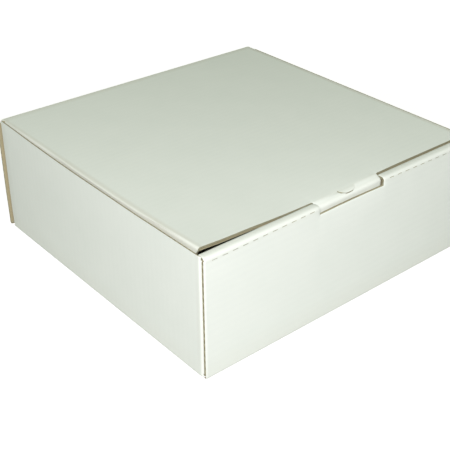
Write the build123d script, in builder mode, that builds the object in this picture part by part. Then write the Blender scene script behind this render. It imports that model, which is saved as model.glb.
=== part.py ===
from build123d import *
import os
from math import floor, sqrt

# A closed cake box, die-cut from one sheet of corrugated board and folded up without glue.
# X runs along the front wall, Y from front to back, Z up, in millimetres.
# The origin is the middle of the base's underside.

# Overall size, outside
BOX_WIDTH = 311.0
BOX_DEPTH = 311.0
BOX_HEIGHT = 111.0

# Board
BOARD = 3.0  # thickness of the corrugated board
FIT = 0.3  # clearance between layers, and between the lid and the tray

# Tops of the walls, measured down from the lid's top
SIDE_STEP = 1.6  # raw top edge of a side wall
ROLL_STEP = 0.6  # crown of the rolled front edge

# Rolled front wall
ROLL_RADIUS = 4.2  # outside bend of the rolled edge
CUT_LENGTH = 5.0  # one cut of the cut-crease line
CUT_PITCH = 9.8
CUT_WIDTH = 0.8
CUT_START = 46.3  # middle of the box to the first cut
CUT_MARGIN = 4.0  # least distance from the last cut to the wall's end
CUT_RISE = 0.5  # height of the cuts over the start of the bend
LOCK_WIDTH = 30.0  # lock tab of the inner front panel, in its slot in the base
LOCK_SPACING = 160.0

# Corner ears of the side walls
EAR_LENGTH = 95.0

# Lid
TAB_WIDTH = 74.2
TAB_DEPTH = 20.0  # below the lid's underside
TAB_PLAY = 0.4  # at each side of the tab, in its slot
SLOT_DROP = 6.7  # lip of the slot below the crown of the rolled edge
THUMB_WIDTH = 18.8
THUMB_REACH = 6.1
THUMB_CUT = 0.3  # cut round the thumb piece
THUMB_HOLE = 5.2  # depth of the hole that the thumb piece leaves in the tab
FLAP_DEPTH = 60.0  # below the lid's underside
FLAP_INSET = 6.0  # from each end of the lid to the flap
FLAP_TAPER = 14.0  # run of the flap's slanted ends

half_width = BOX_WIDTH / 2
half_depth = BOX_DEPTH / 2
layer_gap = BOARD + 2 * FIT
front_thickness = 2 * BOARD + layer_gap
lid_under = BOX_HEIGHT - BOARD
back_top = lid_under - FIT
side_top = BOX_HEIGHT - SIDE_STEP
crown = BOX_HEIGHT - ROLL_STEP
bend_start = crown - ROLL_RADIUS
cut_height = bend_start + CUT_RISE
slot_lip = crown - SLOT_DROP
roll_back = -half_depth + front_thickness
slot_width = TAB_WIDTH + 2 * TAB_PLAY
ear_reach = half_depth - BOARD - FIT
inner_width = BOX_WIDTH - 2 * (BOARD + FIT)


def cut_crease_positions():
    """Middles of the cuts along X, the same at both sides of the slot."""
    room = half_width - CUT_MARGIN - CUT_LENGTH / 2 - CUT_START
    count = floor(room / CUT_PITCH) + 1
    right = [CUT_START + i * CUT_PITCH for i in range(count)]
    return [-x for x in reversed(right)] + right


# Side walls, each bent up from the base and turned in at both ends as an ear
with BuildPart() as side_walls:
    with BuildSketch(Plane.XY.offset(BOARD + FIT)) as ears:
        Rectangle(BOX_WIDTH, 2 * ear_reach)
        fillet(ears.vertices(), BOARD)
        Rectangle(BOX_WIDTH - 2 * BOARD, 2 * (ear_reach - BOARD), mode=Mode.SUBTRACT)
        Rectangle(BOX_WIDTH - 2 * EAR_LENGTH, BOX_DEPTH, mode=Mode.SUBTRACT)
    extrude(amount=back_top - BOARD - FIT)
    with BuildSketch(Plane.XZ) as side_section:
        Rectangle(BOX_WIDTH, side_top, align=(Align.CENTER, Align.MIN))
        fillet(side_section.vertices().group_by(Axis.Y)[0], BOARD)
        with Locations((0, BOARD)):
            Rectangle(
                BOX_WIDTH - 2 * BOARD,
                side_top,
                align=(Align.CENTER, Align.MIN),
                mode=Mode.SUBTRACT,
            )
    extrude(amount=ear_reach - BOARD, both=True)
    # The rolled edge passes over the front end of the walls and the front ears
    with BuildSketch(Plane.XY.offset(bend_start - FIT)):
        with Locations((0, -half_depth)):
            Rectangle(BOX_WIDTH, front_thickness + FIT, align=(Align.CENTER, Align.MIN))
    extrude(amount=BOX_HEIGHT, mode=Mode.SUBTRACT)

# Front wall rolled over into an inner panel, which leaves the ears' layer free
with BuildPart() as front_roll:
    with BuildSketch(Plane.YZ) as roll_outline:
        with Locations((-half_depth, BOARD + FIT)):
            Rectangle(
                front_thickness, crown - BOARD - FIT, align=(Align.MIN, Align.MIN)
            )
        fillet(roll_outline.vertices().group_by(Axis.Y)[-1], ROLL_RADIUS)
    extrude(amount=half_width, both=True)
    with BuildSketch(Plane.YZ) as layer:
        with Locations((-half_depth + BOARD, BOARD)):
            Rectangle(layer_gap, crown - 2 * BOARD, align=(Align.MIN, Align.MIN))
        fillet(layer.vertices().group_by(Axis.Y)[-1], ROLL_RADIUS - BOARD)
    extrude(amount=half_width, both=True, mode=Mode.SUBTRACT)
    # The inner panel stands between the side walls
    with BuildSketch(Plane.XY.offset(BOARD)):
        with Locations((0, -half_depth + BOARD)):
            Rectangle(BOX_WIDTH, front_thickness, align=(Align.CENTER, Align.MIN))
            Rectangle(
                inner_width,
                front_thickness,
                align=(Align.CENTER, Align.MIN),
                mode=Mode.SUBTRACT,
            )
    extrude(amount=bend_start - BOARD, mode=Mode.SUBTRACT)
    with BuildSketch(Plane.XY.offset(FIT)):
        with Locations((0, roll_back - BOARD / 2)):
            with GridLocations(LOCK_SPACING, 0, 2, 1):
                Rectangle(LOCK_WIDTH, BOARD)
    extrude(amount=2 * BOARD)

# Tray: base, back wall, side walls and rolled front wall of one folded sheet
with BuildPart() as tray:
    with BuildSketch(Plane.YZ) as strip:
        Rectangle(BOX_DEPTH, bend_start, align=(Align.CENTER, Align.MIN))
        fillet(strip.vertices().group_by(Axis.Y)[0], BOARD)
        with Locations((0, BOARD)):
            Rectangle(
                BOX_DEPTH - 2 * BOARD,
                bend_start,
                align=(Align.CENTER, Align.MIN),
                mode=Mode.SUBTRACT,
            )
        with Locations((half_depth, back_top)):
            Rectangle(BOARD, back_top / 2, align=(Align.MAX, Align.MAX))
    extrude(amount=half_width, both=True)
    # The base stops where the side walls bend up, and has slots for the lock tabs
    with BuildSketch():
        with GridLocations(BOX_WIDTH - BOARD, 0, 2, 1):
            Rectangle(BOARD, BOX_DEPTH - 2 * BOARD)
        with Locations((0, roll_back - BOARD / 2)):
            with GridLocations(LOCK_SPACING, 0, 2, 1):
                Rectangle(LOCK_WIDTH + 2 * FIT, BOARD + 2 * FIT)
    extrude(amount=BOARD, mode=Mode.SUBTRACT)
    add(side_walls.part)
    add(front_roll.part)
    # Slot for the lid's tab, across the rolled edge
    with BuildSketch(Plane.XY.offset(slot_lip)):
        with Locations((0, -half_depth)):
            Rectangle(slot_width, front_thickness, align=(Align.CENTER, Align.MIN))
    extrude(amount=BOX_HEIGHT, mode=Mode.SUBTRACT)
    # Cut-crease lines along both bends of the rolled edge
    for face_depth, into_board in ((0, -BOARD), (front_thickness, BOARD)):
        with BuildSketch(Plane.XZ.offset(half_depth - face_depth)):
            with Locations(*[(x, cut_height) for x in cut_crease_positions()]):
                Rectangle(CUT_LENGTH, CUT_WIDTH)
        extrude(amount=into_board, mode=Mode.SUBTRACT)

# Lid: panel hinged on the back wall's top edge, with two side flaps and the front tab
lid_front = roll_back + FIT
hinge_y = half_depth + FIT / 2
tab_outer = -half_depth + BOARD + FIT
tab_inner = tab_outer + BOARD
swing_radius = hinge_y - tab_outer
tip_outer = hinge_y - sqrt(swing_radius**2 - TAB_DEPTH**2)
flap_front = lid_front + FLAP_INSET
flap_back = ear_reach - BOARD - FLAP_INSET
flap_length = flap_back - flap_front

with BuildPart() as lid:
    with BuildSketch(Plane.YZ):
        with BuildLine():
            Polyline(
                (half_depth, lid_under),
                (lid_front, lid_under),
                (lid_front, BOX_HEIGHT),
                (half_depth - BOARD, BOX_HEIGHT),
            )
            TangentArc(
                (half_depth - BOARD, BOX_HEIGHT), (half_depth, lid_under), tangent=(1, 0)
            )
        make_face()
    extrude(amount=inner_width / 2, both=True)
    # Flaps, bent down from the panel's sides and tucked inside the side walls
    with BuildSketch(Plane.XY.offset(lid_under)):
        with Locations((0, flap_front)):
            Rectangle(BOX_WIDTH, flap_length, align=(Align.CENTER, Align.MIN))
            Rectangle(
                inner_width - 2 * BOARD,
                flap_length,
                align=(Align.CENTER, Align.MIN),
                mode=Mode.SUBTRACT,
            )
    extrude(amount=BOARD, mode=Mode.SUBTRACT)
    with BuildSketch(Plane.XZ.offset(-flap_back)) as flap_section:
        with Locations((0, BOX_HEIGHT)):
            Rectangle(
                inner_width, BOARD + FLAP_DEPTH, align=(Align.CENTER, Align.MAX)
            )
        fillet(flap_section.vertices().group_by(Axis.Y)[-1], BOARD)
        with Locations((0, lid_under)):
            Rectangle(
                inner_width - 2 * BOARD,
                FLAP_DEPTH,
                align=(Align.CENTER, Align.MAX),
                mode=Mode.SUBTRACT,
            )
    extrude(amount=flap_length)
    with BuildSketch(Plane.YZ):
        for end, inward in ((flap_front, 1), (flap_back, -1)):
            with BuildLine():
                Polyline(
                    (end, lid_under),
                    (end, lid_under - FLAP_DEPTH),
                    (end + inward * FLAP_TAPER, lid_under - FLAP_DEPTH),
                    close=True,
                )
            make_face()
    extrude(amount=half_width, both=True, mode=Mode.SUBTRACT)
    # Front tab, bent down into the slot behind the outer front panel
    with BuildSketch(Plane.YZ):
        with BuildLine():
            Polyline(
                (lid_front + BOARD, BOX_HEIGHT),
                (tab_inner, BOX_HEIGHT),
            )
            TangentArc((tab_inner, BOX_HEIGHT), (tab_outer, lid_under), tangent=(-1, 0))
            Polyline(
                (tab_outer, lid_under),
                (tip_outer, lid_under - TAB_DEPTH),
                (tab_inner, lid_under - TAB_DEPTH),
                (tab_inner, lid_under),
                (lid_front + BOARD, lid_under),
                (lid_front + BOARD, BOX_HEIGHT),
            )
        make_face()
    extrude(amount=TAB_WIDTH / 2, both=True)
    # The thumb piece stays in the lid's plane and leaves its hole in the tab
    with BuildSketch(Plane.XZ.offset(half_depth)):
        with Locations((0, lid_under)):
            Ellipse(THUMB_WIDTH / 2 + THUMB_CUT, THUMB_HOLE)
    extrude(amount=-(tab_inner + half_depth), mode=Mode.SUBTRACT)
    with BuildSketch(Plane.XY.offset(lid_under)):
        with Locations((0, tab_inner)):
            Ellipse(THUMB_WIDTH / 2, THUMB_REACH)
    extrude(amount=BOARD)

os.makedirs("parts", exist_ok=True)
tray.part.label = "tray"
lid.part.label = "lid"
export_step(tray.part, "parts/tray.step")
export_step(lid.part, "parts/lid.step")
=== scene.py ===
import bpy
import math
import numpy as np
from mathutils import Matrix, Vector

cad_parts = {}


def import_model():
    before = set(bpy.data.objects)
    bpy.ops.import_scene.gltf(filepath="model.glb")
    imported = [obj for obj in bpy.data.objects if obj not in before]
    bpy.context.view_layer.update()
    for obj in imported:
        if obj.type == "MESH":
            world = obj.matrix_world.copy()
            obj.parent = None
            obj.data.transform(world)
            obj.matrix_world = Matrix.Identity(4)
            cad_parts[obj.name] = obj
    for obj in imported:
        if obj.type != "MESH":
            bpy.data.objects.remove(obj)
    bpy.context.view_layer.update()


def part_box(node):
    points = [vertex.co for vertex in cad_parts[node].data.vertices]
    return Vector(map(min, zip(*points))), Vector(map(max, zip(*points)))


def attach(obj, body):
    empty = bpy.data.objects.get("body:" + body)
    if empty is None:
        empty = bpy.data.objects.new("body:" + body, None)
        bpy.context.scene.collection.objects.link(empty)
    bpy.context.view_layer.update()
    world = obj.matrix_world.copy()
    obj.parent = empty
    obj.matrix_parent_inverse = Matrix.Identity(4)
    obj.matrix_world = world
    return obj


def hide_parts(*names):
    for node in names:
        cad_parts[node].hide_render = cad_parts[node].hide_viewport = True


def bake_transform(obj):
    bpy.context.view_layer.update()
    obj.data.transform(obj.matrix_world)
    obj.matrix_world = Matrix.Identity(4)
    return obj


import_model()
_, tray_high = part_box("tray")
_, lid_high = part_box("lid")

# Board: two liners and the fluted layer between them
BOARD = 0.003
LINER = 0.0003
MEDIUM = 0.00025
FLUTE_PITCH = 0.0064
STEPS_PER_FLUTE = 10
FLUTE_CLEARANCE = 0.00002  # between the fluted layer and each liner
FIT = 0.0003  # between parts of the board that lie together
BEND = 0.0016  # bend radius of the board's middle
BEND_STEPS = 8
ROUND = 2.0  # power of a bend's section: 2 is a circle, and more is squarer
FIRM = 2.8
CRISP = 5.0
TOLERANCE = 1e-6
CRUSH = 0.3  # share of its thickness that the board loses at a cut edge
CRUSH_REACH = 0.002
CRUSH_LINES = (0.0007, CRUSH_REACH)
CRUSH_SPAN = 0.0055  # shorter cuts don't crush the board
CREASE_FADE = 0.0015
WALL_CREASE = 0.35  # darkening of the tray's folds, partly wear of the liner and partly painted shade, where that of the lid's side folds is 1
# darkening of the tab's folds and of the whole thumb piece: partly wear, partly painted shade
TAB_CREASE = 0.3
SMOOTH_ANGLE = math.radians(40)

# Longest cells of the liners' grids, and of the fluted layer's along the flutes
STRIP_CELL = 0.02
WALL_CELL_UP = 0.02
WALL_CELL_ALONG = 0.01
LID_CELL_ACROSS = 0.016
LID_CELL_ALONG = 0.012
HINGE_CELL = 0.01
FLUTE_CELL = 0.2
LID_FLUTE_CELL = 0.03

# Tray
SIDE_STEP = 0.0016  # the side walls' tops lie this far under the lid's top
ROLL_BEND = 0.0027
ROLL_DROP = 0.0042  # crown of the rolled edge to the start of its bend
CUT_LENGTH = 0.005
CUT_PITCH = 0.0098
CUT_WIDTH = 0.0003
CUT_START = 0.0463  # from the box's middle to the middle of the first cut
CUTS_PER_SIDE = 11
CUT_RISE = 0.0005  # from the start of the roll's bend to the cuts
LOCK_WIDTH = 0.030
LOCK_SPACING = 0.160
EAR_LENGTH = 0.095
FRONT_INSET = 0.0009  # the front wall is this much narrower at each end
SPINE_INSET = 0.0016
SPINE_TURN = 0.35  # share of the roll's front bend that is as wide as the front wall
FRONT_END_TURN = 0.6  # share of its front fold over which a side wall keeps its height
# How far the left wall's top edge stands over its nominal height, at places along it
RISE_PLACES = (-0.152, -0.125, -0.1, -0.074, 0.012, 0.043, 0.066, 0.096, 0.123, 0.152)
RISES = (0.0016, 0.00115, 0.0009, 0.0004, 0.0003, 0.0006, 0.0011, 0.002, 0.0032, 0.0042)
PINCH = 0.62  # share of its thickness that a side wall loses at its top edge
PINCH_DEPTH = 0.003
ROLL_PINCH = 0.75
ROLL_PINCH_DEPTH = 0.0042
PINCH_RUN = 0.001  # height over which the pinch sets in
# How far the back wall's ends stand back, at places along it
FLARE_PLACES = (0.140, 0.144, 0.148, 0.152, 0.1555)
FLARES = (0.0, 0.0001, 0.0003, 0.0006, 0.001)
FLARE_RISE = 0.03  # height over which it sets in above the base
FLARE_FALL = 0.012  # and fades under the lid
REAR_GAP = 0.0025  # a rear ear stands this much further off the back wall than FIT
LIP_BOW = 0.0006  # rise of the slot's lip in its middle
LIP_BOW_REACH = 0.006
CUT_TILT = 0.012  # how far the row of cuts rises towards the middle, for each unit along it
CUT_LEVEL = 0.105  # where along it the row of cuts is at its nominal height
CUT_TILT_REACH = 0.003

# Tab of the lid, its slot in the front wall and its thumb piece
TAB_WIDTH = 0.0737
TAB_DEPTH = 0.020
TAB_SLANT = 0.002  # drop of the tab from the lid's front edge to where it turns down
TAB_BEND = 0.0022
TAB_CRUSH = 0.78  # thickness left at the tab's end
SLOT_WIDTH = 0.0742
SLOT_MIDDLE = -0.0004
SLOT_DROP = 0.0077
THUMB_WIDTH = 0.0188
THUMB_REACH = 0.0058
THUMB_LEAST_REACH = 0.0001  # at its two ends, so that its cells there stay open
THUMB_COLUMNS = 25
THUMB_ROWS = 7
THUMB_FLUTE_ROWS = 17
THUMB_TILT = math.radians(6)  # at its rim
THUMB_RIM = 0.3  # thickness left at its rim

# Hole that the thumb piece leaves in the tab
HOLE_GAP = 0.0003
HOLE_DEPTH = 0.0042
HOLE_LEAST_DEPTH = 0.0006
HOLE_COLUMNS = 17
HOLE_ROWS = 24

# Side flaps of the lid, the folds that they hang from, and the lid's warp
FLAP_DEPTH = 0.060
FLAP_INSET = 0.0008
FLAP_CORNER = 0.0052  # quick inset of a flap's corners under the fold
FLAP_CORNER_DEPTH = 0.012
FLAP_TAPER = 0.014  # inset of a flap's corners at its free edge
FOLD_BULGE = 0.0021  # how far the folds of the lid swell over the side walls
BULGE_HEIGHT = 0.0012  # height over which they swell
BULGE_FROM = 0.1465  # from the lid's middle to where they start to swell
BULGE_TO = 0.0  # the left swelling fades from here to the back wall
WARP_BACK = -0.02  # the lid is flat behind this line
# Lifts of the lid's front edge, at places along it
LIFT_PLACES = (
    -0.152, -0.1408, -0.1332, -0.1236, -0.1079, -0.0918, -0.0753, -0.0583, -0.0453, 0.0639, 0.152
)
LIFTS = (0.0035, 0.0028, 0.0021, 0.0016, 0.0014, 0.0006, -0.0004, -0.0007, -0.0012, 0.0003, 0.0)
LIFT_EASE = 0.008  # the lifts are the mean of three places, this far apart

# Fold of the hinge
INNER_FOLD = 0.0001  # thickness of the inner liner there
HINGE_LINES = 25  # grid lines round the fold
HINGE_GAP_TURN = 0.035  # keeps the lid's outer liner clear of the fold's axis

# Camera, fitted to the corners of the box, with its lens and optical centre in pixels
CAMERA_PLACE = Vector((-0.5035, -0.61235, 0.484))
CAMERA_YAW = math.radians(40.966)
CAMERA_PITCH = math.radians(27.921)
CAMERA_ROLL = math.radians(0.294)
FOCAL_PIXELS = 952.4
IMAGE_PIXELS = 450.0
OPTICAL_CENTRE = (254.4, 173.9)
SENSOR = 36.0
NEAREST_VIEW = 0.05

half_width = tray_high.x
half_depth = tray_high.y
crown = tray_high.z
lid_top = lid_high.z
lid_under = lid_top - BOARD
back_top = lid_under - FIT
side_top = lid_top - SIDE_STEP
bend_start = crown - ROLL_DROP
slot_lip = crown - SLOT_DROP
slot_left, slot_right = SLOT_MIDDLE - SLOT_WIDTH / 2, SLOT_MIDDLE + SLOT_WIDTH / 2
tab_left, tab_right = SLOT_MIDDLE - TAB_WIDTH / 2, SLOT_MIDDLE + TAB_WIDTH / 2
front_thickness = 3 * BOARD + 2 * FIT
roll_back = -half_depth + front_thickness
ear_line = half_depth - BOARD - FIT
rear_line = ear_line - REAR_GAP
inner_half = half_width - BOARD - FIT
middle = BOARD / 2
flute_step = FLUTE_PITCH / STEPS_PER_FLUTE


class BentPath:
    """Middle line of the board in a plane: straight runs joined by bends, by length along it.

    The outside of the board is on the left of the path. Each bend has a radius and a power.
    """

    def __init__(self, corners, bends):
        corners = [np.array(c, float) for c in corners]
        self.pieces = []
        self.bends = []
        length = 0.0
        start = corners[0]
        for i in range(1, len(corners)):
            along = corners[i] - corners[i - 1]
            along /= np.linalg.norm(along)
            if i == len(corners) - 1:
                run = np.dot(corners[i] - start, along)
                self.pieces.append((length, length + run, start, along, None, 0.0, ROUND))
                length += run
                break
            ahead = corners[i + 1] - corners[i]
            ahead /= np.linalg.norm(ahead)
            turn = math.atan2(along[0] * ahead[1] - along[1] * ahead[0], np.dot(along, ahead))
            radius, power = bends[i - 1]
            trim = radius * math.tan(abs(turn) / 2)
            run = np.dot(corners[i] - start, along) - trim
            self.pieces.append((length, length + run, start, along, None, 0.0, ROUND))
            length += run
            bend_from = corners[i] - along * trim
            arc = radius * abs(turn)
            side = math.copysign(1.0, turn)
            centre = bend_from + side * radius * np.array((-along[1], along[0]))
            self.pieces.append((length, length + arc, bend_from, along, centre, side / radius, power))
            self.bends.append((length, length + arc))
            length += arc
            start = corners[i] + ahead * trim
        self.length = length

    def place(self, s, height):
        """Points at lengths s along the path and heights to its left."""
        point = np.zeros(s.shape + (2,))
        last = len(self.pieces) - 1
        for k, (low, high, origin, along, centre, curve, power) in enumerate(self.pieces):
            here = (s >= low) if k else np.ones(s.shape, bool)
            if k < last:
                here &= s < high
            t = s[here] - low
            h = height[here]
            left = np.array((-along[1], along[0]))
            if centre is None:
                point[here] = origin + t[:, None] * along + h[:, None] * left
            else:
                turn = t * curve
                normal = np.cos(turn)[:, None] * left - np.sin(turn)[:, None] * along
                radius = (1.0 / curve - h) * squareness(turn, power)
                point[here] = centre - normal * radius[:, None]
        return point

    def crease(self, s):
        """One in the bends, and falling to nothing beside them."""
        share = np.zeros(s.shape)
        for low, high in self.bends:
            outside = np.maximum(np.maximum(low - s, s - high), 0.0)
            share = np.maximum(share, 1.0 - outside / CREASE_FADE)
        return share


def squareness(turn, power):
    """How much further out than a circle a bend's section reaches, part way round a quarter turn."""
    cos, sin = np.abs(np.cos(turn)), np.abs(np.sin(turn))
    return (cos**power + sin**power) ** (-1.0 / power)


def spread(breaks, step, bends=(), crushed=()):
    """Sorted grid lines: every break, steps between them, and close steps at bends and cut edges."""
    breaks = set(breaks)
    first, last = min(breaks), max(breaks)
    beside = {c + side * line for c in crushed for side in (-1, 1) for line in CRUSH_LINES}
    breaks |= {b for b in beside if first < b < last}
    for low, high in bends:
        breaks |= set(np.linspace(low, high, BEND_STEPS + 1))
    breaks = sorted(breaks)
    lines = [breaks[0]]
    for high in breaks[1:]:
        if high - lines[-1] < TOLERANCE:
            continue
        count = max(1, math.ceil((high - lines[-1]) / step - TOLERANCE))
        lines += list(np.linspace(lines[-1], high, count + 1)[1:])
    return np.array(lines)


def layer(x, v, keep, place, low, high, faces_of):
    """One closed layer of the board: the kept cells of a flat grid, between two heights in it.

    faces_of names the materials of its upper, lower and side faces.
    """
    n, m = x.shape
    touched = np.zeros((n, m), bool)
    for a in (0, 1):
        for b in (0, 1):
            touched[a : n - 1 + a, b : m - 1 + b] |= keep
    number = np.full((n, m), -1)
    number[touched] = np.arange(touched.sum())
    count = int(touched.sum())
    points = np.concatenate(
        [place(x[touched], v[touched], high[touched]), place(x[touched], v[touched], low[touched])]
    )
    flat = np.stack([x[touched], v[touched]], axis=1)
    flat = np.concatenate([flat, flat])
    i, j = np.nonzero(keep)
    a, b = number[i, j], number[i + 1, j]
    c, d = number[i + 1, j + 1], number[i, j + 1]
    padded = np.pad(keep, 1)
    faces = [np.stack([a, b, c, d], axis=1), np.stack([d, c, b, a], axis=1) + count]
    kinds = [np.full(len(a), faces_of[0]), np.full(len(a), faces_of[1])]
    sides = (
        (padded[i + 1, j], a, b),
        (padded[i + 1, j + 2], c, d),
        (padded[i, j + 1], d, a),
        (padded[i + 2, j + 1], b, c),
    )
    for neighbour, first, second in sides:
        open_side = ~neighbour
        first, second = first[open_side], second[open_side]
        faces.append(np.stack([first + count, second + count, second, first], axis=1))
        kinds.append(np.full(len(first), faces_of[2]))
    return points, np.concatenate(faces), flat, np.concatenate(kinds)


def stretches(change):
    """Starts and ends of the runs of true values."""
    steps = np.diff(np.concatenate([[0], change.astype(int), [0]]))
    return zip(np.nonzero(steps == 1)[0], np.nonzero(steps == -1)[0])


def squeeze(sheet, joined, x, v):
    """Share of the board's thickness left at flat places, less beside its cut edges."""
    xs, vs, keep = sheet[0][:, 0], sheet[1][0], np.pad(sheet[2], 1)
    edges = []
    for i in range(len(xs)):
        for a, b in stretches(keep[i, 1:-1] != keep[i + 1, 1:-1]):
            edges.append((xs[i], xs[i], vs[a], vs[b]))
    for j in range(len(vs)):
        for a, b in stretches(keep[1:-1, j] != keep[1:-1, j + 1]):
            edges.append((xs[a], xs[b], vs[j], vs[j]))
    distance = np.full(x.shape, CRUSH_REACH)
    for x_low, x_high, v_low, v_high in edges:
        if x_high - x_low + v_high - v_low < CRUSH_SPAN or joined(x_low, x_high, v_low, v_high):
            continue
        dx = np.maximum(np.maximum(x_low - x, x - x_high), 0.0)
        dv = np.maximum(np.maximum(v_low - v, v - v_high), 0.0)
        distance = np.minimum(distance, np.hypot(dx, dv))
    return 1.0 - CRUSH * (1.0 - distance / CRUSH_REACH) ** 2


def never(x_low, x_high, v_low, v_high):
    """For a sheet that has a free cut edge all round."""
    return False


WHITE, KRAFT, EDGE, FLUTING = range(4)


def board(name, node, sheet, flutes, place, crease, joined=never, move=None, mirrored=False):
    """A stretch of corrugated board as one object: outer liner, fluted layer and inner liner.

    sheet and flutes are the grids of the liners and of the fluted layer: two flat coordinates
    and the cells that are kept. The flutes run along the first coordinate. place and crease give
    a flat point's place and its crease darkening, which is partly wear of the liner and partly
    painted shade; joined tells which edges go on into another piece, and move shifts the grids'
    points before they are placed.
    """
    top, mid = BOARD / 2, BOARD / 2 - LINER
    x, v, keep = sheet
    flute_x, flute_v, flute_keep = flutes
    left = squeeze(sheet, joined, x, v)
    flute_left = squeeze(sheet, joined, flute_x, flute_v)
    if move:
        v = move(x, v)
        flute_v = move(flute_x, flute_v)
    wave = (mid - MEDIUM / 2 - FLUTE_CLEARANCE) * np.cos(2 * math.pi * flute_v / FLUTE_PITCH)
    layers = [
        layer(x, v, keep, place, left * mid, left * top, (WHITE, KRAFT, EDGE)),
        layer(x, v, keep, place, -left * top, -left * mid, (KRAFT, KRAFT, EDGE)),
        layer(
            flute_x, flute_v, flute_keep, place,
            flute_left * (wave - MEDIUM / 2), flute_left * (wave + MEDIUM / 2),
            (FLUTING, FLUTING, FLUTING),
        ),
    ]
    points, faces, flats, kinds = [], [], [], []
    count = 0
    for p, f, flat, kind in layers:
        points.append(p)
        faces.append(f + count)
        flats.append(flat)
        kinds.append(kind)
        count += len(p)
    points = np.concatenate(points)
    faces = np.concatenate(faces)
    if mirrored:
        points = points * np.array((-1.0, 1.0, 1.0))
        faces = faces[:, ::-1]
    flats = np.concatenate(flats)
    share = crease(flats[:, 0], flats[:, 1])
    return mesh_piece(name, node, points, faces, flats, np.concatenate(kinds), share)


def mesh_piece(name, node, points, faces, flat, kinds, crease):
    """A mesh object from arrays, with its flat sheet coordinates as a UV map."""
    mesh = bpy.data.meshes.new(name)
    mesh.from_pydata(points.tolist(), [], faces.tolist())
    mesh.polygons.foreach_set("material_index", kinds.astype(np.int32))
    sheet = mesh.uv_layers.new(name="sheet")
    loop_vertex = np.zeros(len(mesh.loops), np.int32)
    mesh.loops.foreach_get("vertex_index", loop_vertex)
    sheet.data.foreach_set("uv", flat[loop_vertex].astype(np.float32).ravel())
    # share of crease darkening, partly wear and partly painted shade, that the white liner reads
    folded = mesh.attributes.new("crease", "FLOAT", "POINT")
    folded.data.foreach_set("value", crease.astype(np.float32))
    mesh.shade_smooth()
    mesh.set_sharp_from_angle(angle=SMOOTH_ANGLE)
    mesh.validate()
    piece = bpy.data.objects.new(name, mesh)
    bpy.context.scene.collection.objects.link(piece)
    for material in MATERIALS:
        mesh.materials.append(material)
    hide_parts(node)
    return piece


def grid(xs, vs):
    """Two flat coordinates at each crossing of the grid lines."""
    return np.meshgrid(xs, vs, indexing="ij")


def centres(x, v):
    """Two flat coordinates of each cell's middle."""
    return [(a[:-1, :-1] + a[1:, :-1] + a[:-1, 1:] + a[1:, 1:]) / 4 for a in (x, v)]


# Materials: colours, the shares in which they are mixed, and relief in metres

WHITE_DARK = (0.774, 0.835, 0.744, 1.0)
WHITE_LIGHT = (0.834, 0.885, 0.796, 1.0)
FLUTE_COLOUR = (0.58, 0.62, 0.56, 1.0)
FLUTE_SHARE = 0.06
FLUTE_RELIEF = 0.00002
FIBRE_COLOUR = (0.68, 0.71, 0.64, 1.0)
FIBRE_SHARE = 0.12
FIBRE_RELIEF = 0.00002
FIBRE_STRENGTH = 0.6
# Colour of the liner in its creases: partly wear, partly painted shade of the folds
WORN_AND_SHADED_COLOUR = (0.58, 0.56, 0.43, 1.0)
LEAST_WEAR_AND_SHADE = 0.1
CLOUDY_WEAR_AND_SHADE = 0.4
KRAFT_PATCH_SHARE = 0.35
KRAFT_RELIEF = 0.00004
# Sizes of the noise: waves in a metre
WHITE_CLOUDS = 25.0
WHITE_FIBRES = 900.0
FLUTE_PATCHES = 18.0
KRAFT_CLOUDS = 60.0
KRAFT_FIBRES = 1400.0
# Stretch of the noise along the flutes, where 1 is none and less is longer
WHITE_GRAIN = 0.35
FLUTE_GRAIN = 0.3
KRAFT_GRAIN = 0.25


class Nodes:
    """Short forms for building a material's nodes."""

    def __init__(self, name):
        self.material = bpy.data.materials.new(name)
        self.material.use_nodes = True
        self.tree = self.material.node_tree
        self.shader = self.tree.nodes["Principled BSDF"]

    def add(self, kind, **inputs):
        node = self.tree.nodes.new(kind)
        for key, value in inputs.items():
            if key in node.inputs.keys():
                self.put(node.inputs[key], value)
            else:
                setattr(node, key, value)
        return node

    def put(self, socket, value):
        if isinstance(value, bpy.types.NodeSocket):
            self.tree.links.new(value, socket)
        else:
            socket.default_value = value

    def math(self, operation, *values):
        node = self.tree.nodes.new("ShaderNodeMath")
        node.operation = operation
        for socket, value in zip(node.inputs, values):
            self.put(socket, value)
        return node.outputs[0]

    def noise(self, place, scale, detail=4.0, roughness=0.6):
        inputs = {"Vector": place, "Scale": scale, "Detail": detail, "Roughness": roughness}
        return self.add("ShaderNodeTexNoise", **inputs).outputs["Fac"]

    def mix(self, factor, first, second):
        node = self.tree.nodes.new("ShaderNodeMix")
        node.data_type = "RGBA"
        self.put(node.inputs["Factor"], factor)
        self.put(node.inputs["A"], first)
        self.put(node.inputs["B"], second)
        return node.outputs["Result"]

    def bump(self, height, distance, strength=1.0, normal=None):
        node = self.tree.nodes.new("ShaderNodeBump")
        self.put(node.inputs["Height"], height)
        node.inputs["Distance"].default_value = distance
        node.inputs["Strength"].default_value = strength
        if normal is not None:
            self.put(node.inputs["Normal"], normal)
        return node.outputs["Normal"]


def sheet_place(nodes, along=1.0):
    """Flat coordinates of the sheet, scaled along the flutes."""
    uv = nodes.add("ShaderNodeUVMap", uv_map="sheet").outputs["UV"]
    scaled = nodes.add("ShaderNodeMapping", Vector=uv)
    scaled.inputs["Scale"].default_value = (along, 1.0, 1.0)
    return scaled.outputs["Vector"]


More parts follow.
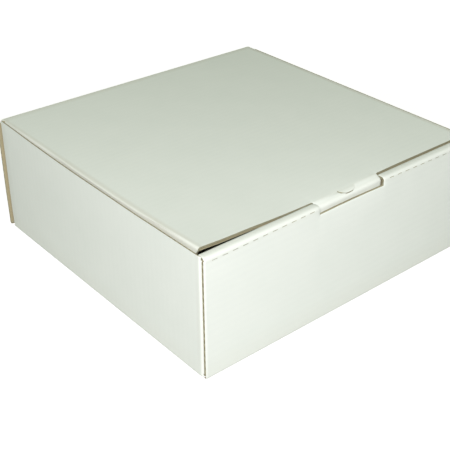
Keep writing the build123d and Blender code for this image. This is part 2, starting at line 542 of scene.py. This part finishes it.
def white_liner():
    """Bleached liner: matt, faintly mottled, darkened in its creases by wear and painted shade, with
    the flutes showing through.
    """
    nodes = Nodes("white_liner")
    flat = sheet_place(nodes)
    across = nodes.add("ShaderNodeSeparateXYZ", Vector=flat).outputs["Y"]
    wave = nodes.math("COSINE", nodes.math("MULTIPLY", across, 2 * math.pi / FLUTE_PITCH))
    ridge = nodes.math("MULTIPLY_ADD", wave, 0.5, 0.5)
    strength = nodes.noise(sheet_place(nodes, FLUTE_GRAIN), FLUTE_PATCHES, detail=2.0)
    ridge = nodes.math("MULTIPLY", ridge, strength)
    fibre = nodes.noise(sheet_place(nodes, WHITE_GRAIN), WHITE_FIBRES, detail=5.0, roughness=0.7)
    cloud = nodes.noise(flat, WHITE_CLOUDS)
    colour = nodes.mix(cloud, WHITE_DARK, WHITE_LIGHT)
    colour = nodes.mix(nodes.math("MULTIPLY", ridge, FLUTE_SHARE), colour, FLUTE_COLOUR)
    colour = nodes.mix(nodes.math("MULTIPLY", fibre, FIBRE_SHARE), colour, FIBRE_COLOUR)
    folded = nodes.add("ShaderNodeAttribute", attribute_name="crease").outputs["Fac"]
    # darken the creases towards that colour: partly wear, partly painted shade
    wear_and_shade = nodes.math("MULTIPLY_ADD", cloud, CLOUDY_WEAR_AND_SHADE, LEAST_WEAR_AND_SHADE)
    wear_and_shade = nodes.math("MULTIPLY", folded, wear_and_shade)
    colour = nodes.mix(wear_and_shade, colour, WORN_AND_SHADED_COLOUR)
    nodes.put(nodes.shader.inputs["Base Color"], colour)
    nodes.shader.inputs["Roughness"].default_value = 0.62
    nodes.shader.inputs["Specular IOR Level"].default_value = 0.35
    relief = nodes.bump(ridge, FLUTE_RELIEF)
    relief = nodes.bump(fibre, FIBRE_RELIEF, FIBRE_STRENGTH, relief)
    nodes.put(nodes.shader.inputs["Normal"], relief)
    return nodes.material


def kraft(name, dark, light, patch):
    """Unbleached brown paper with long fibres and faint patches."""
    nodes = Nodes(name)
    fibre = nodes.noise(sheet_place(nodes, KRAFT_GRAIN), KRAFT_FIBRES, detail=6.0, roughness=0.75)
    cloud = nodes.noise(sheet_place(nodes), KRAFT_CLOUDS, detail=3.0)
    colour = nodes.mix(fibre, dark, light)
    colour = nodes.mix(nodes.math("MULTIPLY", cloud, KRAFT_PATCH_SHARE), colour, patch)
    nodes.put(nodes.shader.inputs["Base Color"], colour)
    nodes.shader.inputs["Roughness"].default_value = 0.8
    nodes.shader.inputs["Specular IOR Level"].default_value = 0.25
    nodes.put(nodes.shader.inputs["Normal"], nodes.bump(fibre, KRAFT_RELIEF))
    return nodes.material


MATERIALS = [
    white_liner(),
    kraft("kraft_liner", (0.30, 0.265, 0.15, 1.0), (0.46, 0.405, 0.25, 1.0), (0.35, 0.31, 0.18, 1.0)),
    kraft("raw_edge", (0.36, 0.37, 0.24, 1.0), (0.57, 0.57, 0.38, 1.0), (0.46, 0.46, 0.31, 1.0)),
    kraft("fluting", (0.31, 0.30, 0.19, 1.0), (0.46, 0.45, 0.29, 1.0), (0.35, 0.34, 0.22, 1.0)),
]


# Tray: back wall, base and rolled front wall, bent across the box

strip_path = BentPath(
    [
        (half_depth - middle, back_top),
        (half_depth - middle, middle),
        (-half_depth + middle, middle),
        (-half_depth + middle, crown - middle),
        (roll_back - middle, crown - middle),
        (roll_back - middle, BOARD + FIT),
    ],
    [(BEND, CRISP), (BEND, CRISP), (ROLL_BEND, FIRM), (ROLL_BEND, FIRM)],
)


def back_flare(x, z):
    """How far the back wall's ends stand back from its plane, between the base and the lid."""
    rise = np.clip((z - 2 * BOARD) / FLARE_RISE, 0.0, 1.0)
    fall = np.clip((back_top - z) / FLARE_FALL, 0.0, 1.0)
    return np.interp(np.abs(x), FLARE_PLACES, FLARES) * rise * fall


def strip_place(x, v, h):
    """A point of the strip: x is across the box, v along the path, h the height in the board."""
    side = strip_path.place(v, h)
    back = side[:, 0] > half_depth - 2 * BOARD
    y = side[:, 0] + np.where(back, back_flare(x, side[:, 1]), 0.0)
    return np.stack([x, y, side[:, 1]], axis=1)


def front_strip():
    """Back wall, base, front wall, spine and inner panel, with the slot, the cuts and the locks."""
    (_, base_from), (base_to, _), (roll_from, spine_from), (_, inner_from) = strip_path.bends
    inner_end = strip_path.length
    lock_end = inner_end + BOARD
    slot_from = roll_from - (bend_start - slot_lip)
    slot_to = inner_from + (bend_start - slot_lip)
    front_cut = roll_from + CUT_RISE
    inner_cut = inner_from - CUT_RISE
    cuts = [CUT_START + k * CUT_PITCH for k in range(CUTS_PER_SIDE)]
    cuts = [-c for c in cuts] + cuts
    lock_middles = (-LOCK_SPACING / 2, LOCK_SPACING / 2)
    base_half = half_width - middle - BEND
    front_half = half_width - FRONT_INSET
    spine_half = half_width - SPINE_INSET
    narrow_from = roll_from + SPINE_TURN * (spine_from - roll_from)
    base_slot = base_to - BEND - (front_thickness - BOARD)

    columns = [-half_width, half_width, -front_half, front_half, -spine_half, spine_half]
    columns += [-inner_half, inner_half, -base_half, base_half, slot_left, slot_right]
    columns += [side * place for side in (-1, 1) for place in FLARE_PLACES[:-1]]
    for lock in lock_middles:
        columns += [lock - LOCK_WIDTH / 2, lock + LOCK_WIDTH / 2]
    cut_columns = [c + half for c in cuts for half in (-CUT_LENGTH / 2, CUT_LENGTH / 2)]
    slot_rows = [base_slot - BOARD - FIT, base_slot + FIT]
    flare_top = back_top - 2 * BOARD
    rows = [0.0, base_from, base_to, slot_from, narrow_from, slot_to, inner_end, lock_end]
    rows += [flare_top - FLARE_RISE, flare_top, FLARE_FALL, *slot_rows]
    cut_rows = [c + half for c in (front_cut, inner_cut) for half in (-CUT_WIDTH / 2, CUT_WIDTH / 2)]
    raw_columns = [-half_width, half_width, -front_half, front_half, slot_left, slot_right]
    raw_rows = [slot_from, slot_to]

    def kept(x, v, with_cuts):
        cx, cv = centres(x, v)
        reach = np.full(cx.shape, half_width)
        reach[cv > base_from] = base_half
        reach[cv > base_to] = front_half
        reach[cv > narrow_from] = spine_half
        reach[cv > inner_from] = inner_half
        keep = np.abs(cx) < reach
        keep &= ~((cx > slot_left) & (cx < slot_right) & (cv > slot_from) & (cv < slot_to))
        at_lock = np.zeros(cx.shape, bool)
        for lock in lock_middles:
            at_lock |= np.abs(cx - lock) < LOCK_WIDTH / 2
        keep &= ~((cv > inner_end) & ~at_lock)
        keep &= ~(at_lock & (cv > slot_rows[0]) & (cv < slot_rows[1]))
        if with_cuts:
            for row in (front_cut, inner_cut):
                on_row = np.abs(cv - row) < CUT_WIDTH / 2
                for cut in cuts:
                    keep &= ~(on_row & (np.abs(cx - cut) < CUT_LENGTH / 2))
        return keep

    def joined(x_low, x_high, v_low, v_high):
        """The base goes on into the side walls, and the back wall into the lid."""
        at_side = x_low == x_high and abs(abs(x_low) - base_half) < FIT
        return at_side or v_high < FIT

    def crease(x, v):
        return WALL_CREASE * strip_path.crease(v)

    def bow_lip(x, v):
        """The slot's lip rises a little in its middle, and the row of cuts beside it tilts."""
        bow = LIP_BOW * np.clip(1.0 - (2 * (x - SLOT_MIDDLE) / SLOT_WIDTH) ** 2, 0.0, 1.0)
        tilt = CUT_TILT * (CUT_LEVEL - np.maximum(np.abs(x), SLOT_WIDTH / 2))
        tilt = tilt * np.clip(1.0 - np.abs(v - front_cut) / CUT_TILT_REACH, 0.0, 1.0)
        return v + tilt + bow * np.clip(1.0 - np.abs(v - slot_from) / LIP_BOW_REACH, 0.0, 1.0)

    x, v = grid(
        spread(columns + cut_columns, STRIP_CELL, crushed=raw_columns),
        spread(rows + cut_rows, STRIP_CELL, strip_path.bends, raw_rows),
    )
    flute_x, flute_v = grid(
        spread(columns, FLUTE_CELL, crushed=raw_columns),
        spread(rows, flute_step, strip_path.bends, raw_rows),
    )
    piece = board(
        "base_and_front_board", "tray", (x, v, kept(x, v, True)),
        (flute_x, flute_v, kept(flute_x, flute_v, False)),
        strip_place, crease, joined, bow_lip,
    )
    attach(piece, "tray")


# Side walls with their ears; the first flat coordinate runs up the wall, the second along it

wall_path = BentPath(
    [
        (-half_width + EAR_LENGTH, -ear_line + middle),
        (-half_width + middle, -ear_line + middle),
        (-half_width + middle, rear_line - middle),
        (-half_width + EAR_LENGTH, rear_line - middle),
    ],
    [(BEND, FIRM), (BEND, ROUND)],
)
fold_length = BEND * math.pi / 2
fold_top = middle + BEND
wall_top = side_top - fold_top


def wall_place(x, v, h, rise=1.0):
    """Left wall: x is the height over the end of the bottom fold, and negative along that fold.

    Towards its top edge the board is pinched against its outer face, most of all under the roll.
    Its top edge rises by RISES times rise, but the ears' tops stay level.
    """
    depth = np.where(v < roll_end_place, ROLL_PINCH_DEPTH, PINCH_DEPTH)
    share = np.where(v < roll_end_place, ROLL_PINCH, PINCH)
    pinch = share * np.clip((x - wall_top + depth) / PINCH_RUN, 0.0, 1.0)
    h = h + (middle - h) * pinch
    turn = np.clip(-x / BEND, 0.0, math.pi / 2)
    reach = (BEND + h) * squareness(turn, CRISP)
    side = wall_path.place(v, reach * np.cos(turn) - BEND)
    height = np.maximum(x, 0.0)
    off_ear = np.clip(1.0 - (side[:, 0] + inner_half) / BOARD, 0.0, 1.0)
    lift = rise * off_ear * np.interp(side[:, 1], RISE_PLACES, RISES) * (height / wall_top) ** 2
    z = fold_top + height - reach * np.sin(turn) + lift
    return np.stack([side[:, 0], side[:, 1], z], axis=1)


def right_wall_place(x, v, h):
    """Right wall before it is mirrored: its top edge stays level."""
    return wall_place(x, v, h, 0.0)


(front_bend_from, front_bend_to), (back_bend_from, _) = wall_path.bends
roll_end_place = front_bend_to + (roll_back + 2 * FIT) - (-ear_line + middle + BEND)


def side_wall(name, place, mirrored):
    """A side wall with its front and rear ears."""
    ear_bottom = BOARD + FIT - fold_top
    front_ear_top = bend_start - FIT - fold_top
    back_ear_top = back_top - fold_top
    front_end = front_bend_to - FRONT_END_TURN * (front_bend_to - front_bend_from)
    pinches = [wall_top - ROLL_PINCH_DEPTH, wall_top - ROLL_PINCH_DEPTH + PINCH_RUN]
    pinches += [wall_top - PINCH_DEPTH, wall_top - PINCH_DEPTH + PINCH_RUN]
    heights = [-fold_length, 0.0, ear_bottom, front_ear_top, back_ear_top, *pinches, wall_top]
    places = [0.0, front_end, front_bend_to, roll_end_place, roll_end_place + FIT]
    places += [back_bend_from, wall_path.length]

    def kept(x, v):
        cx, cv = centres(x, v)
        on_wall = (cv > front_end) & (cv < back_bend_from)
        top = np.full(cx.shape, wall_top)
        top[cv < front_end] = front_ear_top
        top[cv > back_bend_from] = back_ear_top
        bottom = np.where(on_wall, -fold_length, ear_bottom)
        return (cx > bottom) & (cx < top)

    def joined(x_low, x_high, v_low, v_high):
        """The wall goes on into the base, and its top edge is pinched already."""
        at_base = x_high < -fold_length + FIT
        at_top = x_low == x_high and x_low > wall_top - FIT
        return at_base or at_top

    def crease(x, v):
        bottom = np.clip(1.0 - x / CREASE_FADE, 0.0, 1.0)
        return WALL_CREASE * np.maximum(bottom, wall_path.crease(v))

    bottom_fold = [(-fold_length, 0.0)]
    x, v = grid(
        spread(heights, WALL_CELL_UP, bottom_fold),
        spread(places, WALL_CELL_ALONG, wall_path.bends),
    )
    flute_x, flute_v = grid(
        spread(heights, FLUTE_CELL, bottom_fold), spread(places, flute_step, wall_path.bends)
    )
    piece = board(
        name, "tray", (x, v, kept(x, v)), (flute_x, flute_v, kept(flute_x, flute_v)),
        place, crease, joined, mirrored=mirrored,
    )
    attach(piece, "tray")


# Lid

flap_path = BentPath(
    [
        (-inner_half + middle, lid_under - FLAP_DEPTH),
        (-inner_half + middle, lid_top - middle),
        (inner_half - middle, lid_top - middle),
        (inner_half - middle, lid_under - FLAP_DEPTH),
    ],
    [(BEND, FIRM), (BEND, FIRM)],
)
lid_front = roll_back + FIT
hinge_side = half_depth - BOARD
tab_outer = -half_depth + BOARD + FIT
tab_path = BentPath(
    [
        (tab_outer + middle, lid_under - TAB_DEPTH),
        (tab_outer + middle, lid_top - middle - TAB_SLANT),
        (lid_front - FIT, lid_top - middle),
        (hinge_side, lid_top - middle),
    ],
    [(TAB_BEND, ROUND), (BEND, ROUND)],
)
# Flat coordinates of the lid are measured from its middle, and are its X and Y on the panel
flap_shift = flap_path.length / 2
tab_shift = tab_path.length - hinge_side
tab_tip = -tab_shift
tab_turn, tab_fold = tab_path.bends[0][0] - tab_shift, tab_path.bends[1][1] - tab_shift
flap_fold = flap_path.bends[1][0] - flap_shift
flap_start = flap_path.bends[1][1] - flap_shift
flap_end = flap_shift
flap_front = lid_front + FLAP_INSET
flap_back = rear_line - BOARD - FLAP_INSET
flap_middle = (flap_front + flap_back) / 2
flap_half = (flap_back - flap_front) / 2
hole_half = THUMB_WIDTH / 2 + HOLE_GAP


def lid_warp(x, y):
    """How far the lid stands off its plane: most at its front edge, nothing at the back."""
    front = np.clip((y - WARP_BACK) / (lid_front - WARP_BACK), 0.0, 1.0)
    shifts = (-LIFT_EASE, 0.0, LIFT_EASE)
    edge = sum(np.interp(x + shift, LIFT_PLACES, LIFTS) for shift in shifts) / 3
    return edge * front**2


def fold_bulge(x, y, z):
    """How far the lid's side folds swell outwards over the side walls' top edges."""
    rise = np.where(x < 0, np.interp(y, RISE_PLACES, RISES), 0.0)
    over = np.clip((z - side_top - rise) / BULGE_HEIGHT, 0.0, 1.0)
    side = np.clip((np.abs(x) - BULGE_FROM) / (inner_half - BULGE_FROM), 0.0, 1.0)
    fade = np.where(x < 0, np.clip((half_depth - y) / (half_depth - BULGE_TO), 0.0, 1.0), 1.0)
    return np.sign(x) * FOLD_BULGE * fade * over * (2.0 - over) * side**2


def lid_place(x, v, h):
    """A point of the lid: x is across its side folds, v along its tab, h the height in the board."""
    depth = np.clip((np.abs(x) - flap_start) / FLAP_DEPTH, 0.0, 1.0)
    corner = FLAP_CORNER * np.clip(depth * FLAP_DEPTH / FLAP_CORNER_DEPTH, 0.0, 1.0)
    v = v - (corner + depth * FLAP_TAPER) * (v - flap_middle) / flap_half
    crush = 1.0 - (1.0 - TAB_CRUSH) * np.clip((tab_fold - v) / TAB_DEPTH, 0.0, 1.0)
    h = h * crush
    across = flap_path.place(x + flap_shift, h)
    along = tab_path.place(v + tab_shift, h)
    px, py = across[:, 0], along[:, 0]
    pz = across[:, 1] + along[:, 1] - (lid_top - middle) - h
    px = px + fold_bulge(px, py, pz)
    pz = pz + lid_warp(px, py)
    return np.stack([px, py, pz], axis=1)


def thumb_hole(x):
    """How far the hole of the thumb piece reaches down the tab."""
    return HOLE_DEPTH * np.sqrt(np.clip(1.0 - (x / hole_half) ** 2, 0.0, 1.0))


def lid_board():
    """Lid panel with its side flaps and its front tab."""
    hole_columns = hole_half * np.sin(np.linspace(-math.pi / 2, math.pi / 2, HOLE_COLUMNS))
    bends = [(-flap_start, -flap_fold), (flap_fold, flap_start)]
    corner_end = flap_start + FLAP_CORNER_DEPTH
    columns = [-flap_end, flap_end, -corner_end, corner_end, -BULGE_FROM, BULGE_FROM]
    columns += [tab_left, tab_right, *hole_columns]
    hole_row = tab_fold - HOLE_LEAST_DEPTH
    tab_rows = np.linspace(tab_turn - HOLE_DEPTH, hole_row, HOLE_ROWS)
    rows = [tab_tip, *tab_rows, tab_fold, lid_front, flap_front, flap_back, hinge_side]

    def bend_rows(x, v):
        """Moves the rows under the thumb piece's hole down the tab."""
        hole = np.maximum(thumb_hole(x), HOLE_LEAST_DEPTH)
        below = v < hole_row + TOLERANCE
        share = (v - tab_tip) / (hole_row - tab_tip)
        return np.where(below, tab_tip + share * (tab_fold - hole - tab_tip), v)

    def kept(x, v):
        cx, cv = centres(x, v)
        on_panel = (cv > lid_front) & (np.abs(cx) < flap_start)
        on_flap = (np.abs(cx) > flap_start) & (cv > flap_front) & (cv < flap_back)
        on_tab = (cv < lid_front) & (cx > tab_left) & (cx < tab_right)
        in_hole = (np.abs(cx) < hole_half) & (cv < tab_fold) & (cv > hole_row)
        return on_panel | on_flap | (on_tab & ~in_hole)

    def joined(x_low, x_high, v_low, v_high):
        """The lid goes on into the back wall, and into the thumb piece."""
        return v_low > hinge_side - FIT or abs(v_low - tab_fold) + abs(v_high - tab_fold) < FIT

    # crease darkening, partly wear and partly painted shade: full on the side folds, less on the tab
    def crease(x, v):
        side = flap_path.crease(x + flap_shift)
        on_tab = np.abs(x - SLOT_MIDDLE) < TAB_WIDTH / 2
        front = np.where(on_tab, TAB_CREASE * tab_path.crease(v + tab_shift), 0.0)
        back = np.clip(1.0 - (hinge_side - v) / CREASE_FADE, 0.0, 1.0)
        return np.maximum(np.maximum(side, front), back)

    raw_columns, raw_rows = [tab_left, tab_right], [tab_tip, lid_front]
    x, v = grid(
        spread(columns, LID_CELL_ACROSS, bends, raw_columns),
        spread(rows, LID_CELL_ALONG, crushed=raw_rows),
    )
    flute_x, flute_v = grid(
        spread(columns, LID_FLUTE_CELL, bends, raw_columns),
        spread(rows, flute_step, crushed=raw_rows),
    )
    piece = board(
        "lid_board", "lid", (x, v, kept(x, v)), (flute_x, flute_v, kept(flute_x, flute_v)),
        lid_place, crease, joined, bend_rows,
    )
    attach(piece, "lid")


def thumb_place(x, v, h):
    """The thumb piece bends down from the lid's plane and thins towards its rim."""
    out = tab_fold - v
    share = np.clip(out / THUMB_REACH, 0.0, 1.0)
    h = h * (1.0 - (1.0 - THUMB_RIM) * share**2)
    turn = THUMB_TILT * share
    radius = THUMB_REACH / THUMB_TILT
    y = tab_fold - (radius + h) * np.sin(turn)
    drop = (radius + h) * (1.0 - np.cos(turn))
    z = lid_top - middle + h - drop + lid_warp(x, np.full(x.shape, tab_fold))
    return np.stack([x, y, z], axis=1)


def thumb_piece():
    """The half-round piece that stays in the lid's plane when the tab is bent down."""
    half = THUMB_WIDTH / 2
    xs = half * np.sin(np.linspace(-math.pi / 2, math.pi / 2, THUMB_COLUMNS))
    reach = THUMB_REACH * np.sqrt(np.clip(1.0 - (xs / half) ** 2, 0.0, 1.0)) + THUMB_LEAST_REACH

    def sheet(steps):
        share = np.linspace(0.0, 1.0, steps)
        x, share = grid(xs, share)
        v = tab_fold - (1.0 - share) * reach[:, None]
        return x, v, np.ones((len(xs) - 1, steps - 1), bool)

    def joined(x_low, x_high, v_low, v_high):
        """Its rim thins by itself."""
        return True

    # the whole piece gets the tab's crease darkening, partly wear and partly painted shade
    def crease(x, v):
        return np.full(x.shape, TAB_CREASE)

    piece = board(
        "thumb_piece", "lid", sheet(THUMB_ROWS), sheet(THUMB_FLUTE_ROWS),
        thumb_place, crease, joined,
    )
    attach(piece, "lid")


# Fold between the back wall and the lid: the inner liner bends as the lid turns


def hinge_liner(name, node, corner, radii, kinds, flap_heights, first_turn):
    """A thin curved liner along the fold, between two radii about a corner line.

    Its two ends follow the lid's rounded side folds and their swelling.
    """
    fold_ends = [flap_path.bends[0][0], flap_path.bends[1][1]]
    xs = spread(fold_ends, HINGE_CELL, flap_path.bends)
    x, turn = grid(xs, np.linspace(first_turn, math.pi / 2, HINGE_LINES))
    keep = np.ones((x.shape[0] - 1, x.shape[1] - 1), bool)
    rise = radii[1]

    def place(s, turn, radius):
        out = radius * squareness(turn, CRISP)
        top = flap_path.place(s, np.where(radius > sum(radii) / 2, *flap_heights))
        share = np.clip((top[:, 1] - corner[1]) / rise, 0.0, 1.0)
        x = top[:, 0] + fold_bulge(top[:, 0], np.full(turn.shape, hinge_side), top[:, 1])
        y = corner[0] + out * np.cos(turn)
        z = corner[1] + out * np.sin(turn) * share
        return np.stack([x, y, z], axis=1)

    low, high = (np.full(x.shape, radius) for radius in radii)
    points, faces, flat, kind = layer(x, turn, keep, place, low, high, kinds)
    flat[:, 1] = hinge_side + flat[:, 1] * rise
    # the whole liner round the fold gets the full crease darkening, partly wear and partly painted
    # shade
    return mesh_piece(name, node, points, faces[:, ::-1], flat, kind, np.ones(len(points)))


outer_radius = half_depth - hinge_side
outer_liner = hinge_liner(
    "outer_hinge_liner", "lid", (hinge_side, lid_under), (outer_radius - LINER, outer_radius),
    (WHITE, KRAFT, EDGE), (middle, middle - LINER), HINGE_GAP_TURN,
)
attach(outer_liner, "lid")
inner_liner = hinge_liner(
    "inner_hinge_liner", "tray", (hinge_side - FIT, back_top), (FIT - INNER_FOLD, FIT),
    (KRAFT, KRAFT, EDGE), (-middle + LINER, -middle), 0.0,
)
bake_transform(inner_liner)
front_strip()
side_wall("left_side_board", wall_place, False)
side_wall("right_side_board", right_wall_place, True)
lid_board()
thumb_piece()


# Stage, lights and camera

PURE_WHITE = (1.0, 1.0, 1.0, 1.0)
FLOOR_REACH = 6.0
FLOOR_COLOUR = (0.45, 0.45, 0.44, 1.0)
FLOOR_ROUGHNESS = 0.9
FLOOR_GLOW = 0.75  # up to the first distance from the box's middle, and 1 from the second
FLOOR_GLOW_FROM = 0.3
FLOOR_GLOW_TO = 0.8
ROOM_COLOUR = (0.78, 1.0, 0.52, 1.0)
ROOM_LEVEL = 0.175
KEY_PLACE = Vector((-0.901, -1.022, 0.942))
KEY_AIM = Vector((0.0, 0.0, 0.05))
KEY_POWER = 27.8
KEY_COLOUR = (1.02, 0.97, 1.07)
KEY_SIZE = 0.35


def floor():
    """Pale floor: it shows white to the camera, and keeps the box's shadow."""
    mesh = bpy.data.meshes.new("floor")
    signs = ((-1, -1), (1, -1), (1, 1), (-1, 1))
    corners = [(FLOOR_REACH * x, FLOOR_REACH * y, 0.0) for x, y in signs]
    mesh.from_pydata(corners, [], [(0, 1, 2, 3)])
    ground = bpy.data.objects.new("floor", mesh)
    bpy.context.scene.collection.objects.link(ground)
    nodes = Nodes("floor_white")
    nodes.shader.inputs["Base Color"].default_value = FLOOR_COLOUR
    nodes.shader.inputs["Roughness"].default_value = FLOOR_ROUGHNESS
    nodes.shader.inputs["Specular IOR Level"].default_value = 0.0
    place = nodes.add("ShaderNodeNewGeometry").outputs["Position"]
    distance = nodes.add("ShaderNodeVectorMath", operation="LENGTH")
    nodes.put(distance.inputs[0], place)
    level = nodes.add("ShaderNodeMapRange", Value=distance.outputs["Value"])
    level.inputs["From Min"].default_value = FLOOR_GLOW_FROM
    level.inputs["From Max"].default_value = FLOOR_GLOW_TO
    level.inputs["To Min"].default_value = FLOOR_GLOW
    level.inputs["To Max"].default_value = 1.0
    seen = nodes.add("ShaderNodeLightPath").outputs["Is Camera Ray"]
    glow = nodes.add("ShaderNodeEmission", Color=PURE_WHITE)
    nodes.put(glow.inputs["Strength"], nodes.math("MULTIPLY", seen, level.outputs["Result"]))
    both = nodes.add("ShaderNodeAddShader")
    nodes.put(both.inputs[0], nodes.shader.outputs["BSDF"])
    nodes.put(both.inputs[1], glow.outputs["Emission"])
    nodes.put(nodes.tree.nodes["Material Output"].inputs["Surface"], both.outputs["Shader"])
    mesh.materials.append(nodes.material)


def world():
    """White to the camera and in reflections, and a dim green-yellow room for the light."""
    sky = bpy.data.worlds.new("studio")
    bpy.context.scene.world = sky
    sky.use_nodes = True
    tree = sky.node_tree
    room = tree.nodes["Background"]
    room.inputs["Color"].default_value = ROOM_COLOUR
    room.inputs["Strength"].default_value = ROOM_LEVEL
    white = tree.nodes.new("ShaderNodeBackground")
    white.inputs["Color"].default_value = PURE_WHITE
    path = tree.nodes.new("ShaderNodeLightPath")
    either = tree.nodes.new("ShaderNodeMath")
    either.operation = "MAXIMUM"
    tree.links.new(path.outputs["Is Camera Ray"], either.inputs[0])
    tree.links.new(path.outputs["Is Glossy Ray"], either.inputs[1])
    blend = tree.nodes.new("ShaderNodeMixShader")
    tree.links.new(either.outputs[0], blend.inputs[0])
    tree.links.new(room.outputs[0], blend.inputs[1])
    tree.links.new(white.outputs[0], blend.inputs[2])
    tree.links.new(blend.outputs[0], tree.nodes["World Output"].inputs["Surface"])


def key_light():
    """A small round lamp, further out than the camera and above it."""
    data = bpy.data.lights.new("key", "AREA")
    data.shape = "DISK"
    data.size = KEY_SIZE
    data.energy = KEY_POWER
    data.color = KEY_COLOUR
    lamp = bpy.data.objects.new("key", data)
    lamp.location = KEY_PLACE
    lamp.rotation_euler = (KEY_AIM - KEY_PLACE).to_track_quat("-Z", "Y").to_euler()
    bpy.context.scene.collection.objects.link(lamp)


def camera():
    """The photograph's camera: its place, its three angles, its lens and its shift."""
    forward = Vector(
        (
            math.sin(CAMERA_YAW) * math.cos(CAMERA_PITCH),
            math.cos(CAMERA_YAW) * math.cos(CAMERA_PITCH),
            -math.sin(CAMERA_PITCH),
        )
    )
    level = Vector((math.cos(CAMERA_YAW), -math.sin(CAMERA_YAW), 0.0))
    upright = level.cross(forward)
    right = level * math.cos(CAMERA_ROLL) + upright * math.sin(CAMERA_ROLL)
    up = right.cross(forward)
    data = bpy.data.cameras.new("camera")
    data.sensor_width = SENSOR
    data.lens = SENSOR * FOCAL_PIXELS / IMAGE_PIXELS
    data.shift_x = (IMAGE_PIXELS / 2 - OPTICAL_CENTRE[0]) / IMAGE_PIXELS
    data.shift_y = (OPTICAL_CENTRE[1] - IMAGE_PIXELS / 2) / IMAGE_PIXELS
    data.clip_start = NEAREST_VIEW
    eye = bpy.data.objects.new("camera", data)
    turn = Matrix((right, up, -forward)).transposed()
    eye.matrix_world = Matrix.Translation(CAMERA_PLACE) @ turn.to_4x4()
    bpy.context.scene.collection.objects.link(eye)
    bpy.context.scene.camera = eye


floor()
world()
key_light()
camera()
bpy.context.scene.view_settings.view_transform = "Standard"
